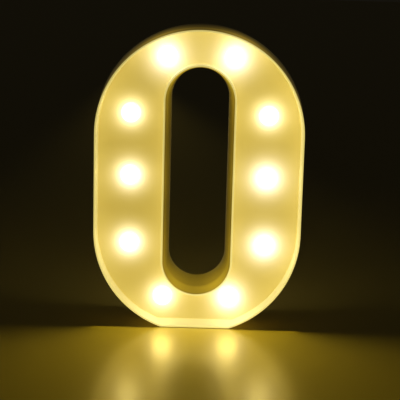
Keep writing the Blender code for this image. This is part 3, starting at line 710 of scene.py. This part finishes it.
def make_screws():
    zinc = surface(
        "zinc_plate_bright", bright_zinc_colour, bright_zinc_roughness, bright_zinc_grain,
        relief=bright_zinc_relief, metallic=1.0,
    )
    low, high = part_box(screw_names[0])
    mesh = screw_mesh((high.x - low.x) / 2, high.y - low.y)
    mesh.materials.append(zinc)
    for index, name in enumerate(screw_names):
        centre = middle(name)
        screw = place("pan_head_" + name, mesh)
        seat = Vector((centre.x, high.y - screw_head_height, centre.z))
        turn = Matrix.Rotation(-quarter_turn, 4, "X") @ Matrix.Rotation(index * screw_turn, 4, "Z")
        screw.matrix_world = Matrix.Translation(seat) @ turn
        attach(screw, "letter")
        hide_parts(name)


# Materials of the CAD nodes that show as they are.

led_look = {
    "Roughness": 0.12,
    "Emission Color": (1.0, 0.80, 0.35, 1.0),
    "Emission Strength": 2.0,
}
led_deep_colour = (0.92, 0.86, 0.62)
led_pale_colour = (0.98, 0.92, 0.70)
led_grain = 500.0

# Battery cells: a grey sleeve with a pale band near each end, measured from the ends.
sleeve_end = 0.0016
band_start = 0.0042
band_end = 0.0066
band_blur = 0.0001
cell_dark_grey = (0.085, 0.095, 0.110)
cell_light_grey = (0.100, 0.112, 0.130)
cell_band_colour = (0.55, 0.56, 0.55)
cell_metal_colour = (0.70, 0.69, 0.66)
cell_roughness = 0.30
cell_grain = 300.0
cell_relief = 0.00001


def dress(names, material):
    for name in names:
        thing = nodes[name]
        thing.data.materials.clear()
        thing.data.materials.append(material)


def soften(name):
    step = nodes[name].modifiers.new("edges", "BEVEL")
    step.width = edge_round
    step.segments = edge_segments
    step.limit_method = "ANGLE"
    step.angle_limit = edge_angle
    step.harden_normals = True


def led_material():
    made, tree, shader = new_material("led_resin_lit")
    set_sockets(shader, led_look)
    resin = mixed(tree, noise(tree, led_grain), opaque(led_deep_colour), opaque(led_pale_colour))
    tree.links.new(resin, shader.inputs["Base Color"])
    return made


def cell_material(name):
    """The sleeve with its bands; the caps beyond the sleeve are bare metal."""
    low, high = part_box(name)
    made, tree, shader = new_material(name + "_sleeve")
    fine = noise(tree, cell_grain)
    grey = mixed(tree, fine, opaque(cell_dark_grey), opaque(cell_light_grey))
    z = position(tree)[2]
    from_low = number(tree, "SUBTRACT", z, low.z)
    from_high = number(tree, "SUBTRACT", high.z, z)
    from_end = number(tree, "MINIMUM", from_low, from_high)
    inner = ramp(tree, from_end, band_end - band_blur, band_end)
    outer = ramp(tree, from_end, band_start - band_blur, band_start)
    band = number(tree, "SUBTRACT", outer, inner)
    sleeved = ramp(tree, from_end, sleeve_end, sleeve_end + band_blur)
    metal = number(tree, "SUBTRACT", 1.0, sleeved)
    banded = mixed(tree, band, grey, opaque(cell_band_colour))
    colour = mixed(tree, metal, banded, opaque(cell_metal_colour))
    tree.links.new(colour, shader.inputs["Base Color"])
    tree.links.new(metal, shader.inputs["Metallic"])
    set_sockets(shader, {"Roughness": cell_roughness})
    bump(tree, shader, fine, cell_relief)
    return made


def dress_nodes():
    cover = surface(
        "cover_white", cover_colour, cover_roughness, cover_grain,
        relief=cover_relief, variation_share=cover_variation_share,
    )
    dress(["back_cover", "battery_door"], cover)
    dress(led_names, led_material())
    for cell in ("battery_cell_1", "battery_cell_2"):
        dress([cell], cell_material(cell))
    nickel = surface(
        "nickel_plate", nickel_colour, nickel_roughness, nickel_grain,
        relief=nickel_relief, metallic=1.0,
    )
    dress(["contact_bridge", "contact_positive", "contact_negative"], nickel)
    dress(["contact_spring_lower", "contact_spring_upper"], nickel)
    black_plastic = surface("switch_black", switch_colour, switch_roughness, switch_grain)
    dress(["switch_body", "switch_knob"], black_plastic)
    zinc = surface(
        "zinc_plate", zinc_colour, zinc_roughness, zinc_grain,
        relief=zinc_relief, metallic=1.0,
    )
    dress(["switch_screw_1", "switch_screw_2"], zinc)
    tan = surface("resistor_tan", resistor_colour, resistor_roughness, resistor_grain)
    dress(["resistor"], tan)
    red = surface("red_sleeve", red_sleeve_colour, wire_roughness, wire_grain)
    dress(["lamp_wire_positive", "wire_battery_to_switch"], red)
    dress(["wire_switch_to_resistor", "wire_resistor_to_lamps"], red)
    black = surface("black_sleeve", black_sleeve_colour, wire_roughness, wire_grain)
    dress(["lamp_wire_negative", "wire_battery_to_lamps"], black)


# Stage.

floor_reach = 80.0
floor_look = {
    "Base Color": (0.50, 0.415, 0.088, 1.0),
    "Roughness": 0.32,
    "IOR": 1.7,
    "Specular IOR Level": 1.0,
    "Specular Tint": (1.0, 0.85, 0.13, 1.0),
    "Coat Weight": 0.45,
    "Coat Roughness": 0.17,
    "Coat IOR": 1.5,
}
world_look = {
    "Color": (0.80, 0.68, 0.42, 1.0),
    "Strength": 0.009,
}


def make_stage():
    work = bmesh.new()
    bmesh.ops.create_grid(work, x_segments=1, y_segments=1, size=floor_reach)
    floor = place("floor", mesh_from(work, "floor"))
    made, _, shader = new_material("pale_floor")
    set_sockets(shader, floor_look)
    floor.data.materials.append(made)

    world = bpy.data.worlds.new("studio")
    world.use_nodes = True
    set_sockets(world.node_tree.nodes["Background"], world_look)
    bpy.context.scene.world = world


# Lights: places and sizes in metres, powers in watts, spreads in degrees.

full_spread = 180.0
studio_colour = (1.0, 0.86, 0.64)
side_light_colour = (1.0, 0.80, 0.36)
bulb_colour = (1.0, 0.76, 0.06)

front_light_place = (-0.9, -0.9, 1.3)
front_light_size = 0.9
front_light_power = 0.06

bulbs_glow_power = 0.140

side_light_distance = 2.4
side_light_back = 0.5
side_light_height = 0.15
side_light_size = 0.24
side_light_spread = 30.0
left_light_power = 0.09
right_light_power = 0.075

rear_light_place = (-0.24, 2.60, 0.065)
rear_light_size = 0.09
rear_light_power = 0.28
rear_light_spread = 14.0


def soft_light(name, place_at, size, power, spread=full_spread, glossy=False, colour=studio_colour):
    """A square light that faces the letter's middle and isn't seen itself."""
    data = bpy.data.lights.new(name, "AREA")
    data.shape = "SQUARE"
    data.size = size
    data.energy = power
    data.spread = math.radians(spread)
    data.color = colour
    lamp = bpy.data.objects.new(name, data)
    bpy.context.scene.collection.objects.link(lamp)
    lamp.location = place_at
    aim = Vector((0.0, 0.0, letter_height / 2)) - Vector(place_at)
    lamp.rotation_euler = aim.to_track_quat("-Z", "Y").to_euler()
    lamp.visible_camera = False
    lamp.visible_glossy = glossy
    return lamp


def make_lights():
    soft_light("front", front_light_place, front_light_size, front_light_power, glossy=True)
    letter_centre = (0.0, 0.0, letter_height / 2)
    glow = soft_light(
        "bulbs_glow", letter_centre, 2 * end_radius, bulbs_glow_power, colour=bulb_colour
    )
    glow.data.shape = "RECTANGLE"
    glow.data.size_y = letter_height
    glow.location.y = shell_low.y - overrun
    glow.rotation_euler = (-quarter_turn, 0.0, 0.0)
    sides = (
        ("left", -side_light_distance, left_light_power),
        ("right", side_light_distance, right_light_power),
    )
    for name, x, power in sides:
        soft_light(
            name, (x, side_light_back, side_light_height), side_light_size, power,
            spread=side_light_spread, colour=side_light_colour,
        )
    soft_light(
        "rear", rear_light_place, rear_light_size, rear_light_power, spread=rear_light_spread
    )


# Camera: sensor width in millimetres.

camera_place = (0.00356, -0.79197, 0.2450)
camera_yaw = math.radians(-0.143)
camera_pitch = math.radians(10.867)
camera_roll = math.radians(1.492)
sensor_width = 36.0
focal_pixels = 1074.5
image_width_pixels = 400.0
near_clip = 0.01


def make_camera():
    data = bpy.data.cameras.new("camera")
    data.sensor_width = sensor_width
    data.lens = sensor_width * focal_pixels / image_width_pixels
    data.clip_start = near_clip
    camera = bpy.data.objects.new("camera", data)
    bpy.context.scene.collection.objects.link(camera)
    across = Vector((math.cos(camera_yaw), -math.sin(camera_yaw), 0.0))
    level = Vector((math.sin(camera_yaw), math.cos(camera_yaw), 0.0))
    upright = Vector((0.0, 0.0, 1.0))
    ahead = level * math.cos(camera_pitch) - upright * math.sin(camera_pitch)
    up = level * math.sin(camera_pitch) + upright * math.cos(camera_pitch)
    image_right = across * math.cos(camera_roll) + up * math.sin(camera_roll)
    image_up = up * math.cos(camera_roll) - across * math.sin(camera_roll)
    turn = Matrix((image_right, image_up, -ahead)).transposed()
    camera.matrix_world = Matrix.Translation(camera_place) @ turn.to_4x4()
    bpy.context.scene.camera = camera


make_camera()
make_shell()
make_caps()
make_screws()
dress_nodes()
for softened in ("back_cover", "battery_door", "switch_knob"):
    soften(softened)
make_stage()
make_lights()
bpy.context.scene.view_settings.view_transform = "Standard"
